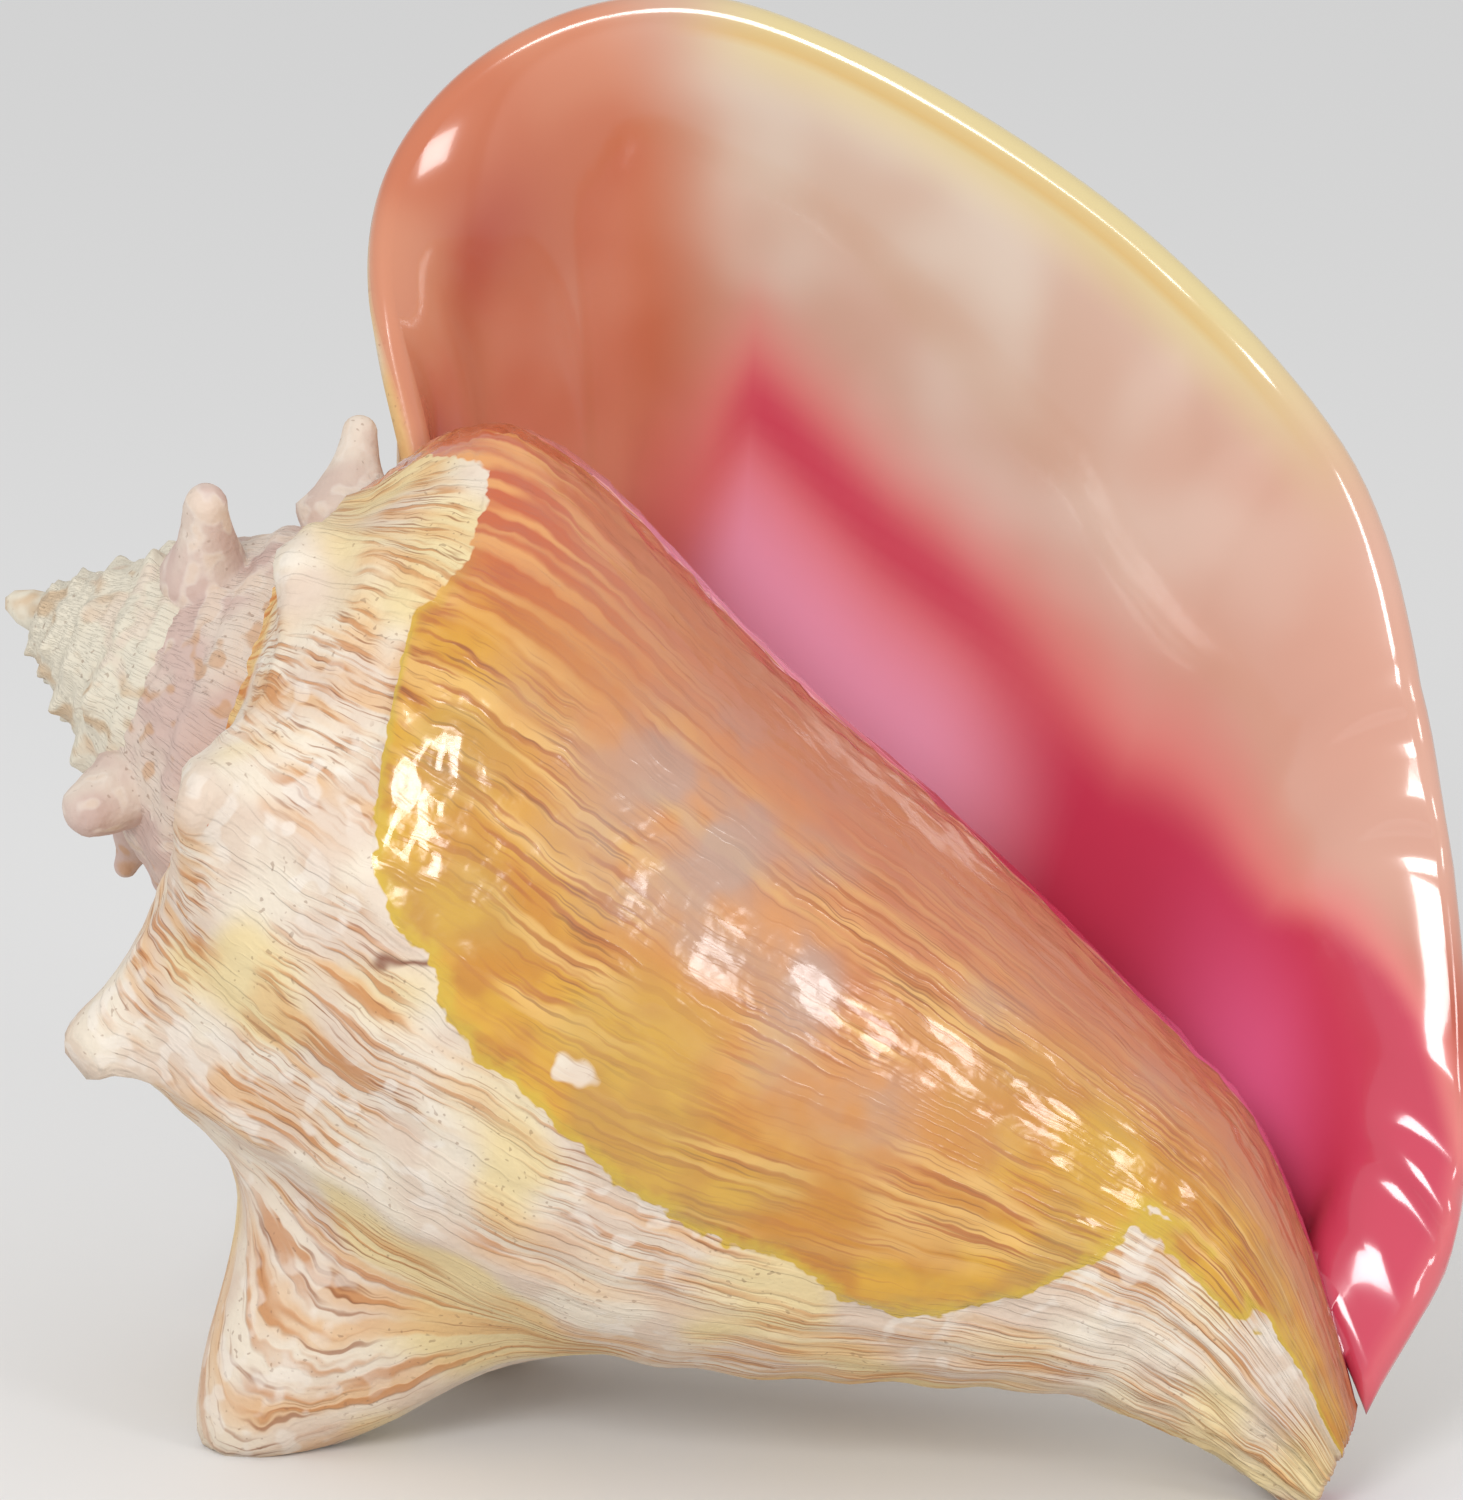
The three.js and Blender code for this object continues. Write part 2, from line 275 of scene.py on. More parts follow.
def directions(turn, along):
    """Unit vectors into the wall, along the turn and along the section."""
    step = 0.002
    by_turn = outside(np.minimum(turn + step, 0), along) - outside(turn - step, along)
    by_along = outside(turn, np.minimum(along + step, 1)) - outside(turn, np.maximum(along - step, 0))
    inward = np.cross(by_along, by_turn)
    return [way / np.linalg.norm(way, axis=1)[:, None] for way in (inward, by_turn, by_along)]


edge_shown = outside(np.zeros(3), np.array([0, 0.5, 1]))
print("lip edge at suture, middle and tip:", edge_shown.round(1).tolist())

# %% [markdown]
# ## The callus
# The animal spread a thin glaze from its opening over the last whorl, and its edge is ragged. It could be a
# piece of its own laid on the wall, but a sheet that thin flickers where it touches. So the edge is drawn
# once, in turn and place along the section, and its distance on the unrolled wall, in millimetres, serves
# the relief now and the colours later.

# %% Edge of the callus
CANAL_DROPS = 6.5
TURN_LENGTH = 330
SECTION_LENGTH = 235
CALLUS_LAST = -1.08
# The edge of the callus, as turn and place along the section, from the suture to the canal.
CALLUS_EDGE = np.array([
    (-1.30, 0.12), (-0.96, 0.14), (-0.925, 0.19), (-0.905, 0.25), (-0.895, 0.31), (-0.86, 0.325),
    (-0.82, 0.29), (-0.774, 0.30), (-0.727, 0.345), (-0.712, 0.40), (-0.69, 0.44), (-0.68, 0.50),
    (-0.66, 0.565), (-0.654, 0.63), (-0.632, 0.69), (-0.655, 0.74), (-0.71, 0.775), (-0.77, 0.80),
    (-0.775, 0.87), (-0.78, 0.94), (-0.79, 1.1),
])


def callus_depth(turn, along):
    """Distance in millimetres inside the edge of the callus, negative outside."""
    scale = np.array([TURN_LENGTH, SECTION_LENGTH])
    at = np.stack([turn, along], axis=1) * scale
    edge = CALLUS_EDGE * scale
    nearest = np.full(len(turn), 1e9)
    crossings = np.zeros(len(turn), int)
    for start, end in zip(edge[:-1], edge[1:]):
        way = end - start
        t = np.clip((at - start) @ way / (way @ way), 0, 1)[:, None]
        nearest = np.minimum(nearest, np.linalg.norm(at - start - way * t, axis=1))
        spans = (start[1] > at[:, 1]) != (end[1] > at[:, 1])
        cross = start[0] + (at[:, 1] - start[1]) * way[0] / (way[1] if way[1] else 1e-9)
        crossings += spans & (at[:, 0] < cross)
    spread = np.where((crossings % 2 == 1) & (turn > CALLUS_LAST), nearest, -nearest)
    drops = CANAL_DROPS * np.exp(-((turn + 0.762) / 0.018) ** 2 - ((along - 0.84) / 0.07) ** 2) - 3
    return np.maximum(spread, drops)


middle_depth = callus_depth(np.array([-0.8]), np.array([0.5]))[0]
print("the middle of the callus is", round(float(middle_depth), 1), "mm from its edge")

# %% [markdown]
# ## Relief of the outside
# The outer surface is never plain: knobs sit on every spire whorl, folds run down from the spines, faint
# cords go round, and each halt in growth left a ridge. A bump map would leave the silhouette smooth, so
# the larger of these move the wall itself, as a height in millimetres square to the surface.

# %% Knobs, folds and keel
KNOBS_PER_TURN = 9
KNOB_HEIGHT = 4.8
KNOBS_AT = 0.16
KEEL_HEIGHT = 1.6
KEEL_AT = 0.125
# Folds and hollows below the shoulder: turn, height, and half width in turns.
FOLDS = [
    (-0.92, 1.2, 0.019), (-0.838, 2.8, 0.016), (-0.777, -1.8, 0.024), (-0.713, 3.0, 0.014),
    (-0.646, -1.8, 0.026), (-0.58, 3.6, 0.015), (-0.54, -1.6, 0.02), (-0.46, 2.4, 0.012),
    (-0.43, 0.8, 0.02), (-0.385, 2.0, 0.019), (-0.3, 2.0, 0.019), (-0.22, 1.2, 0.02),
]


def knobs(turn, along):
    """Blunt knobs on the shoulder of the spire, smaller towards the apex."""
    beat = turn * KNOBS_PER_TURN
    from_knob = (beat - np.round(beat)) / 0.3
    uneven = 0.75 + 0.25 * np.cos(np.round(beat) * 2.4)
    share = np.exp(-np.abs(from_knob) ** 1.5 - np.abs((along - KNOBS_AT) / 0.07) ** 1.5)
    return KNOB_HEIGHT * whorl_size(turn) ** 0.8 * uneven * share * (1 - smooth(turn, -2.1, -2.0))


def folds(turn, along):
    """Ridges that run from the shoulder towards the canal and fade."""
    height = 0 * turn
    fade = smooth(along, 0.06, 0.14) * (1 - smooth(along, 0.2, 0.62))
    for at_turn, ridge, half in FOLDS:
        drift = 0.012 * np.sin(7 * along + at_turn * 40)
        across = (turn - at_turn - drift) / half
        height += ridge * np.exp(-np.abs(across) ** 1.15) * fade
    return height


def keel(turn, along):
    """The angular rim of the shoulder."""
    rim = np.exp(-np.abs((along - KEEL_AT) / 0.024) ** 1.2) * (1 - smooth(turn, -0.5, -0.4))
    return KEEL_HEIGHT * rim


one_knob = knobs(np.array([-3.0]), np.array([KNOBS_AT]))[0]
print("a knob of the spire:", round(float(one_knob), 2), "mm, folds:", len(FOLDS))

# %% [markdown]
# The fine relief is noise, read on the unrolled wall, so that it is drawn out along the growth lines as
# on the real shell. Under the glaze it sinks and turns into soft dribbles.

# %% Fine relief
GROWTH_HEIGHT = 0.38
CORD_HEIGHT = 0.25
CORDS = 19
LUMP_HEIGHT = 0.5
CANAL_LUMP_HEIGHT = 0.8
HALT_HEIGHT = 0.9
DRIBBLE_HEIGHT = 0.5
CALLUS_THICK = 0.45


def rough(points, octaves=3):
    """Fractal noise, about -1 to 1, at rows of points."""
    return np.array([noise.fractal(Vector(point), 1, 2, octaves) for point in points.tolist()])


def wall_noise(turn, along, per_turn, per_section, layer, octaves=3):
    """Noise on the unrolled wall; each layer is another cut through it."""
    return rough(np.stack([turn * per_turn, along * per_section, layer + 0 * turn], axis=1), octaves)


def relief(turn, along):
    """How far the outer surface stands out of the plain whorl."""
    body = smooth(turn, -1.1, -0.95)
    growth = wall_noise(turn, along, 95, 5, 0)
    lumps = wall_noise(turn, along, 26, 17, 3)
    halts = np.abs(wall_noise(turn, along, 40, 2, 9, 1))
    dribble = wall_noise(turn, along, 120, 60, 5, 2)
    cords = np.cos(2 * math.pi * (along * CORDS + 0.4 * np.sin(turn * 12))) * smooth(along, 0.3, 0.5)
    chalky = GROWTH_HEIGHT * growth + CORD_HEIGHT * cords * (1 - smooth(along, 0.8, 0.95))
    chalky += LUMP_HEIGHT * lumps + HALT_HEIGHT * (0.3 - halts) * body

    glaze = callus_depth(turn, along)
    glazed = smooth(glaze, -0.6, 1.2)
    sunk = glazed * (0.45 + 0.5 * smooth(-turn, 0.8, 0.88))
    calm = smooth(glaze, 8, 40) * smooth(turn, -0.86, -0.78)
    waves = chalky * (1 - sunk) + glazed * dribble * DRIBBLE_HEIGHT * (1 - 0.6 * calm)
    canal = smooth(along, 0.8, 0.9) * body * (1 - smooth(-turn, 0.8, 0.86))
    waves += CANAL_LUMP_HEIGHT * lumps * canal

    shape = body * (folds(turn, along) * (1 - 0.5 * glazed) + keel(turn, along))
    return knobs(turn, along) + shape + waves * whorl_size(turn) + CALLUS_THICK * glazed


sample = relief(np.linspace(-6, 0, 200), np.full(200, 0.3))
print("relief along one line:", sample.min().round(2), "to", sample.max().round(2), "mm")

# %% [markdown]
# ## Closed slabs of wall
# Boolean joins need closed meshes. A grid, extruded once, is a closed slab of cells, and moving its corners
# bends it into any stretch of shell wall. Each corner remembers its turn, its place along the section and
# whether it is outside (0) or inside (1): as face-corner values these survive the joins, and the colours
# are painted from them later.

# %% Slab builder
RIM_CUTS = 3


def closed_slab(columns, rows, rim_cuts=0):
    """A bmesh of cells from 0 to 1 each way, one cell thick, closed all round."""
    slab = bmesh.new()
    bmesh.ops.create_grid(slab, x_segments=columns, y_segments=rows, size=0.5)
    bmesh.ops.translate(slab, verts=slab.verts, vec=(0.5, 0.5, 0))
    copied = bmesh.ops.extrude_face_region(slab, geom=slab.faces[:], use_keep_orig=True)["geom"]
    lifted = [part for part in copied if isinstance(part, bmesh.types.BMVert)]
    bmesh.ops.translate(slab, verts=lifted, vec=(0, 0, 1))
    if rim_cuts:
        upright = [edge for edge in slab.edges if abs(edge.verts[0].co.z - edge.verts[1].co.z) > 0.5]
        bmesh.ops.subdivide_edges(slab, edges=upright, cuts=rim_cuts)
    return slab


def placed(slab, name, place):
    """An object from a slab; place(a, b, c) gives its corners' points, turn, along and side."""
    mesh = bpy.data.meshes.new(name)
    slab.to_mesh(mesh)
    slab.free()
    at = np.empty(len(mesh.vertices) * 3)
    mesh.vertices.foreach_get("co", at)
    points, *marks = place(*at.reshape(-1, 3).T)
    mesh.vertices.foreach_set("co", points.ravel())
    vertex_of = np.empty(len(mesh.loops), np.int32)
    mesh.loops.foreach_get("vertex_index", vertex_of)
    for label, values in zip(("turn", "along", "side"), marks):
        mesh.attributes.new(label, "FLOAT", "CORNER").data.foreach_set("value", values[vertex_of])
    check = bmesh.new()
    check.from_mesh(mesh)
    if check.calc_volume(signed=True) < 0:
        bmesh.ops.reverse_faces(check, faces=check.faces)
    check.to_mesh(mesh)
    check.free()
    piece = bpy.data.objects.new(name, mesh)
    bpy.context.scene.collection.objects.link(piece)
    return piece


tried = closed_slab(4, 3)
tried_closed = all(edge.is_manifold for edge in tried.edges)
print("a slab of 4 by 3 cells has", len(tried.faces), "faces, closed:", tried_closed)
tried.free()

# %% [markdown]
# ## Filled early whorls
# Nobody can look into the early whorls, so they are solid. One slab can't overlap itself, so the spiral
# is cut into stretches shorter than a turn. Each sinks a little way into the next one, so that the join
# has no gap.

# %% Filled whorls
COLUMELLA = 2
OVERLAP = 0.02
SINK = 0.04
# Start and end turn of each stretch, and its cells along the turn and along the section.
STRETCHES = [
    (APEX_TURN, -5.4, 44, 34), (-5.4, -4.5, 56, 40), (-4.5, -3.6, 72, 48), (-3.6, -2.65, 96, 58),
    (-2.65, SPIRE_TURN, 126, 66), (SPIRE_TURN, CORE_END, 150, 92),
]


def filled_whorls(start, end, columns, rows):
    """A filled stretch of whorls, from its outer surface to just short of the axis."""
    overlap = 1 if end < CORE_END else 0

    def place(a, b, c):
        column = np.round(a * (columns + overlap))
        sunk = column > columns
        turn = np.where(sunk, end + OVERLAP, start + (end - start) * column / columns)
        along = b**1.5
        points = whorl(turn, along)
        if end > SPIRE_TURN:
            inward = directions(turn, along)[0]
        else:
            inward = -wound(turn, 1 + 0 * turn, 0.4 + 0 * turn)
        points = points - inward * relief(turn, along)[:, None]
        top = section(turn, 0 * turn)
        bottom = section(turn, 0 * turn + 1)[:, 1]
        core = wound(turn, np.minimum(COLUMELLA, top[:, 0] / 2), top[:, 1] + (bottom - top[:, 1]) * b)
        points = np.where(c[:, None] > 0.5, core, points)
        middle = wound(turn, 0 * turn, (top[:, 1] + bottom) / 2)
        points = np.where(sunk[:, None], points + (middle - points) * SINK, points)
        return points, turn, along, 0 * turn

    return placed(closed_slab(columns + overlap, rows), f"whorls_{-start:.1f}", place)


pieces = [filled_whorls(*stretch) for stretch in STRETCHES]
print("filled stretches:", [len(piece.data.polygons) for piece in pieces])

# %% [markdown]
# ## The hollow last whorl
# From here the wall is a sheet 3 to 5 millimetres thick. The slab's outer face carries the relief, its
# inner face stays smooth, and the rims are rounded by a half circle across the thickness.

# %% Hollow whorl and lip
WALL = 3.6
LIP_WALL = 4.6
TUCK = 1.5
HOLLOW_COLUMNS = 236
HOLLOW_ROWS = 138


def ripples(turn, along):
    """Shallow flutes at the outer margin of the lip."""
    near_edge = smooth(turn, -0.09, -0.01)
    right = smooth(along, 0.56, 0.72) * (1 - smooth(along, 0.94, 0.99))
    return 1.1 * near_edge * right * np.sin(2 * math.pi * (along * 15 + 0.35 * np.sin(along * 41))) ** 3


def hollow_whorl():
    """The last whorl and its lip, one bent sheet whose first column is tucked into the filled whorls."""
    first = 1 / HOLLOW_COLUMNS

    def place(a, b, c):
        tucked = a < first / 2
        begin = CORE_END - OVERLAP / 2
        turn = np.where(tucked, CORE_END - OVERLAP, begin - begin * (a - first) / (1 - first))
        along = b**1.15
        inward, by_turn, by_along = directions(turn, along)
        thick = WALL + (LIP_WALL - WALL) * smooth(turn, -0.2, 0)
        edge_fade = 1 - smooth(turn, -0.02, 0)
        raised = relief(turn, along) * (1 - c) * edge_fade + ripples(turn, along)
        depth = TUCK * np.clip((CORE_END - turn) / OVERLAP, 0, 1) + c * thick - raised
        bulge = np.sqrt(np.clip(c * (1 - c), 0, 1)) * thick * 0.8
        out = by_turn * (bulge * (a > 1 - first / 2))[:, None]
        out += by_along * (bulge * ((b > 0.999) * 1.0 - (b < 0.001)))[:, None] * (1 - tucked)[:, None]
        return outside(turn, along) + inward * depth[:, None] + out, turn, along, c

    return placed(closed_slab(HOLLOW_COLUMNS, HOLLOW_ROWS, RIM_CUTS), "last_whorl", place)


pieces.append(hollow_whorl())
print("last whorl:", len(pieces[-1].data.polygons), "faces")

# %% [markdown]
# ## Slender spines and columella
# On the whorl above, the spines are fingers. A UV sphere already has a closed round end, so each finger is
# a sphere drawn out: its latitude becomes the way up the finger and its radius swells into a foot. The
# columella, the pillar on the axis, is made in the same way and brings the blunt apex with it.

# %% Slender spines and columella
# Turn, how far it stands out and up, radius at foot and tip, and lean along the turn.
SLENDER_SPINES = [
    (-1.875, 14, 4, 6.5, 2.9, -1),
    (-1.6, 8, 4, 6, 4, 0),
    (-1.44, 8, 0, 5, 1.7, 1),
    (-1.3, 9, 0, 5.5, 2.2, 1),
    (-1.15, 10, 2, 6, 2.2, 0),
    (-1.0, 12, 5, 8, 2.4, 0),
]


APEX_CAP = 15


def drawn_out(name, ways, base, profile, turn, along, apex=False):
    """A sphere drawn out along an axis: profile(h) gives distance along it and radius for h from 0 to 1."""
    ball = bmesh.new()
    bmesh.ops.create_uvsphere(ball, u_segments=22, v_segments=26, radius=1)
    axis, side, other = ways

    def place(x, y, z):
        h = np.arccos(np.clip(-z, -1, 1)) / math.pi
        distance, radius = profile(h)
        swell = 1 + 0.1 * rough(np.stack([x * 1.3, y * 1.3, h * 6 + turn * 50], axis=1))
        reach = radius * swell / np.maximum(np.sin(h * math.pi), 1e-6)
        spoke = (x * reach)[:, None] * side + (y * reach)[:, None] * other
        points = base + distance[:, None] * axis + spoke
        marked = np.where((distance > -APEX_CAP) & apex, APEX_TURN, turn)
        return points, marked, along + 0 * x, 0 * x

    return placed(ball, name, place)


def slender_spine(number, turn, out, up, foot, tip, lean):
    """A finger with a wide foot, growing out of the crest of the whorl."""
    base = whorl(np.array([turn]), np.array([CREST]))[0]
    outward = base * (1, 1, 0) / np.hypot(base[0], base[1])
    ahead = np.cross(outward, (0, 0, 1.0))
    axis = outward * out + np.array((0, 0, up)) + ahead * lean
    length = np.linalg.norm(axis)
    axis = axis / length
    side = np.cross(axis, (0, 0, 1.0))
    side /= np.linalg.norm(side)

    def profile(h):
        height = -foot + (length + foot) * (1 - np.cos(h * math.pi)) / 2
        share = np.clip(height / length, 0, 1)
        radius = tip + (foot - tip) * (1 - share) ** 2.4
        end = np.clip((length - height) / tip, 0, 1)
        start = np.clip((height + foot) / foot, 0, 1)
        return height, radius * np.sqrt(1 - (1 - end) ** 2) * np.sqrt(1 - (1 - start) ** 2)

    return drawn_out(f"spine_{number}", (axis, side, np.cross(axis, side)), base, profile, turn, CREST)


# Height and radius of the columella, from the canal up to the apex.
PILLAR = [(-216, 0), (-215, 3.6), (-40, 3.6), (-8, 3.6), (-4, 2.9), (-1.5, 2.1), (-0.4, 1.2), (0, 0)]


def columella():
    """The pillar on the axis, with the blunt apex on top."""
    heights, radii = zip(*PILLAR)

    def profile(h):
        height = heights[0] * (1 + np.cos(h * math.pi)) / 2
        return height, np.interp(height, heights, radii)

    ways = [np.array(way, float) for way in ((0, 0, 1), (1, 0, 0), (0, 1, 0))]
    return drawn_out("columella", ways, np.zeros(3), profile, -1.2, 0.9, apex=True)


pieces += [slender_spine(number, *spine) for number, spine in enumerate(SLENDER_SPINES)]
pieces.append(columella())
print("pieces to join:", len(pieces))

# %% [markdown]
# ## One shell
# The stretches become one closed skin with the Boolean modifier. Its manifold solver is quick and exact on
# closed meshes and keeps the face-corner values. The join is done on the straight shell and the bend comes
# after it, so that neighbouring stretches still match corner for corner. The tips that the shell stands on
# are worn flat by the floor, as on a shell that was moved about for years.

# %% Join, bend and stand
def joined(pieces, name):
    """All pieces as one mesh object, joined one after the other."""
    base = pieces[0]
    for other in pieces[1:]:
        union = base.modifiers.new(other.name, "BOOLEAN")
        union.operation = "UNION"
        union.solver = "MANIFOLD"
        union.object = other
    evaluated = base.evaluated_get(bpy.context.evaluated_depsgraph_get())
    mesh = bpy.data.meshes.new_from_object(evaluated)
    mesh.name = name
    for piece in pieces:
        bpy.data.objects.remove(piece)
    whole = bpy.data.objects.new(name, mesh)
    bpy.context.scene.collection.objects.link(whole)
    return whole


def values_of(mesh, label):
    """A face-corner attribute as an array."""
    data = mesh.attributes[label].data
    out = np.empty(len(data), np.float32)
    data.foreach_get("value", out)
    return out.astype(float)


CRUMB = 500


def without_crumbs(mesh):
    """Deletes the closed crumbs that the joins leave where two surfaces nearly touch."""
    body = bmesh.new()
    body.from_mesh(mesh)
    unseen = set(body.verts)
    crumbs = []
    while unseen:
        island = [unseen.pop()]
        for corner in island:
            for edge in corner.link_edges:
                other = edge.other_vert(corner)
                if other in unseen:
                    unseen.remove(other)
                    island.append(other)
        if len(island) < CRUMB:
            crumbs += island
    bmesh.ops.delete(body, geom=crumbs, context="VERTS")
    body.to_mesh(mesh)
    body.free()
    return len(crumbs)


shell = joined(pieces, "shell")
mesh = shell.data
print("corners in crumbs:", without_crumbs(mesh))
points = np.empty(len(mesh.vertices) * 3)
mesh.vertices.foreach_get("co", points)
points = points.reshape(-1, 3)
points = stand(points + bend(points[:, 2]))
below = points[:, 2] < 0
deepest = round(float(points[:, 2].min()) / MM, 2)
print("worn flat at the floor:", int(below.sum()), "corners, deepest", deepest, "mm")
points[:, 2] = np.maximum(points[:, 2], 0)
mesh.vertices.foreach_set("co", points.ravel())
mesh.shade_smooth()
triangles = sum(len(face.vertices) - 2 for face in mesh.polygons)
print("shell:", len(mesh.vertices), "corners,", triangles, "triangles")

# %% [markdown]
# ## Where each colour goes
# The finish of a conch follows its growth, so the paint zones are written in the same two coordinates as
# the shape. They could be painted by hand on a picture, but a picture needs a seam and blurs close up. Here
# every face corner gets a value per zone, and the material breaks up their borders. The zones of the
# opening are soft bands: terracotta at the shoulder, cream at the margin, rose in the depth.

# %% Paint zones
# Where the rose begins: place along the section, and how far behind the edge of the lip, in turns.
ROSE_EDGE = [
    (0.3, 0.15), (0.38, 0.125), (0.42, 0.1), (0.5, 0.112), (0.57, 0.118), (0.65, 0.12), (0.72, 0.10),
    (0.78, 0.088), (0.83, 0.045), (0.86, 0.01), (0.9, -0.015), (1, -0.02),
]
COVERED_FROM = -2.1


def hump(x, middle, half):
    """A soft hump, 1 in the middle."""
    return np.exp(-((x - middle) / half) ** 2)


def polished(turn, along, side):
    """The inside of the last whorl, and the wall of the whorl before where the last one covers it."""
    suture_below = section(np.minimum(turn + 1, -0.25), 0 * turn)[:, 1]
    hem = 4 + 5 * smooth(-turn, 1.05, 1.15)
    covered = (turn < CORE_END) & (turn > COVERED_FROM) & (section(turn, along)[:, 1] < suture_below - hem)
    return np.maximum(smooth(side, 0.1, 0.6) * np.maximum(along > 0.05, turn > -0.15), covered)


def paint_zones(turn, along, side):
    """The paint zones of face corners, each from 0 to 1, apart from glaze, which is in millimetres."""
    past = -turn - np.interp(along, *zip(*ROSE_EDGE))
    upper = 1 - smooth(along, 0.53, 0.64)
    crimson = hump(past, 0.01, 0.013) * upper + smooth(past, 0, 0.03) * (1 - upper)
    shoulder_ember = hump(along, 0.19, 0.06) * hump(turn, -0.05, 0.02)
    lower_ember = hump(along, 0.855, 0.035) * hump(turn, 0, 0.04)
    margin = (1 - smooth(-turn, 0.006, 0.034)) * smooth(along, 0.36, 0.44)
    return {
        "nacre": polished(turn, along, side),
        "glaze": callus_depth(turn, along),
        "rose": smooth(past, -0.028, 0.022) * smooth(along, 0.26, 0.4),
        "crimson": crimson * smooth(along, 0.385, 0.43),
        "lilac": smooth(past, 0.014, 0.05) * smooth(along, 0.34, 0.43) * upper,
        "hot": smooth(-turn, 0.09, 0.16) * hump(along, 0.82, 0.08),
        "terracotta": 1 - smooth(along + 0.3 * turn, 0.31, 0.42),
        "ember": shoulder_ember + lower_ember,
        "cream": margin * (1 - smooth(along, 0.6, 0.7)),
        "golden": hump(turn, -0.0065, 0.0024) * smooth(along, 0.36, 0.42) * (1 - smooth(along, 0.58, 0.68)),
    }


shell.data.materials.clear()
corner = {label: values_of(mesh, label) for label in ("turn", "along", "side")}
zones = paint_zones(corner["turn"], corner["along"], corner["side"])
for label, values in zones.items():
    mesh.attributes.new(label, "FLOAT", "CORNER").data.foreach_set("value", values.astype(np.float32))
print("paint zones:", {label: round(float(values.mean()), 2) for label, values in zones.items()})

# %% [markdown]
# ## Shader maths as expressions
# A material of this kind has dozens of Math nodes, which could be placed and linked one by one. A small
# class that wraps a socket lets the maths be written as plain expressions instead, and one method makes
# every other node: its type, its settings and the values or links of its sockets.

# %% Node helpers
class Wire:
    """An output socket that takes part in sums: each operator adds a Math node."""

    def __init__(self, finish, socket):
        self.finish = finish
        self.socket = socket

    def math(self, operation, *values):
        """A Math node on this wire or on numbers."""
        return self.finish.node("ShaderNodeMath", {"operation": operation}, dict(enumerate(values)))

    def __add__(self, other):
        return self.math("ADD", self, other)

    def __radd__(self, other):
        return self.math("ADD", other, self)

    def __sub__(self, other):
        return self.math("SUBTRACT", self, other)

    def __rsub__(self, other):
        return self.math("SUBTRACT", other, self)

    def __mul__(self, other):
        return self.math("MULTIPLY", self, other)

    def __rmul__(self, other):
        return self.math("MULTIPLY", other, self)


class Finish:
    """A material under construction."""

    def __init__(self, name):
        self.material = bpy.data.materials.new(name)
        self.material.use_nodes = True
        self.tree = self.material.node_tree
        self.tree.nodes.clear()

    def node(self, kind, settings=None, inputs=None, output=0):
        """A node of a kind, its settings made first, then its sockets set or linked."""
        made = self.tree.nodes.new(kind)
        for key, value in (settings or {}).items():
            setattr(made, key, value)
        for key, value in (inputs or {}).items():
            if isinstance(value, Wire):
                self.tree.links.new(value.socket, made.inputs[key])
            else:
                made.inputs[key].default_value = value
        return Wire(self, made.outputs[output])

    def mark(self, label):
        """A painted zone of the mesh."""
        return self.node("ShaderNodeAttribute", {"attribute_name": label}, output="Fac")

    def step(self, value, low, high):
        """A soft step from 0 at low to 1 at high."""
        inputs = {"Value": value, "From Min": low, "From Max": high}
        return self.node("ShaderNodeMapRange", {"interpolation_type": "SMOOTHSTEP"}, inputs)

    def noise(self, place, scale, detail):
        """Fractal noise, about 0.5 in the middle."""
        return self.node("ShaderNodeTexNoise", {}, {"Vector": place, "Scale": scale, "Detail": detail})

    def blend(self, share, below, above):
        """One colour over another."""
        return self.node("ShaderNodeMix", {"data_type": "RGBA"}, {0: share, 6: below, 7: above}, output=2)

    def place(self, x, y):
        """A flat place for a pattern."""
        return self.node("ShaderNodeCombineXYZ", {}, {0: x, 1: y})


def colour(red, green, blue):
    """A colour given as it looks on a screen, 0 to 255, in the linear light that shaders use."""
    return tuple(((c / 255 + 0.055) / 1.055) ** 2.4 for c in (red, green, blue)) + (1,)


print("middle grey in linear light:", round(colour(128, 128, 128)[0], 3))

# %% [markdown]
# ## The shell's finish
# Three finishes share one skin: the chalky outside, the honey callus and the polished opening. They could
# be three materials on three sets of faces, but the real borders wander across the wall, so they are mixed
# by the painted zones. All of them are broken up by the same few patterns, which are made first: streaks
# that follow the growth lines, and patches of three sizes.

# %% Growth streaks and patches
finish = Finish("shell")
solid = finish.node("ShaderNodeTexCoord", {}, {}, output="Object")
turn = finish.mark("turn")
along = finish.mark("along")
glaze = finish.mark("glaze")
nacre = finish.mark("nacre")
lines = turn + finish.noise(solid, 70, 1) * 0.012 + finish.noise(solid, 420, 0) * 0.0022


def streaks(per_turn, per_section, low, high):
    """Streaks across the whorl: fine along the turn and drawn out along the section."""
    pattern = finish.noise(finish.place(lines * per_turn, along * per_section), 1, 1)
    return finish.step(pattern, low, high)


def over(field, low, high):
    """Patches where a noise field is high, with soft edges."""
    return finish.step(field, low, high)


# Each noise costs time on every ray, so these fields of patches are shared by all layers.
large = finish.noise(solid, 42, 1)
middle = finish.noise(solid, 88, 2)
small = finish.noise(solid, 240, 1)
specks = finish.noise(solid, 1300, 0)
broad_streak = streaks(120, 5, 0.44, 0.64)
fine_streak = streaks(330, 12, 0.50, 0.66)
hair_streak = streaks(680, 18, 0.56, 0.72)
streak_patch = over(finish.noise(finish.place(turn * 16, along * 10), 1, 1), 0.38, 0.58)
pores = over(specks, 0.72, 0.8) * over(middle, 0.44, 0.56)
print("shared patterns ready:", len(finish.tree.nodes), "nodes")

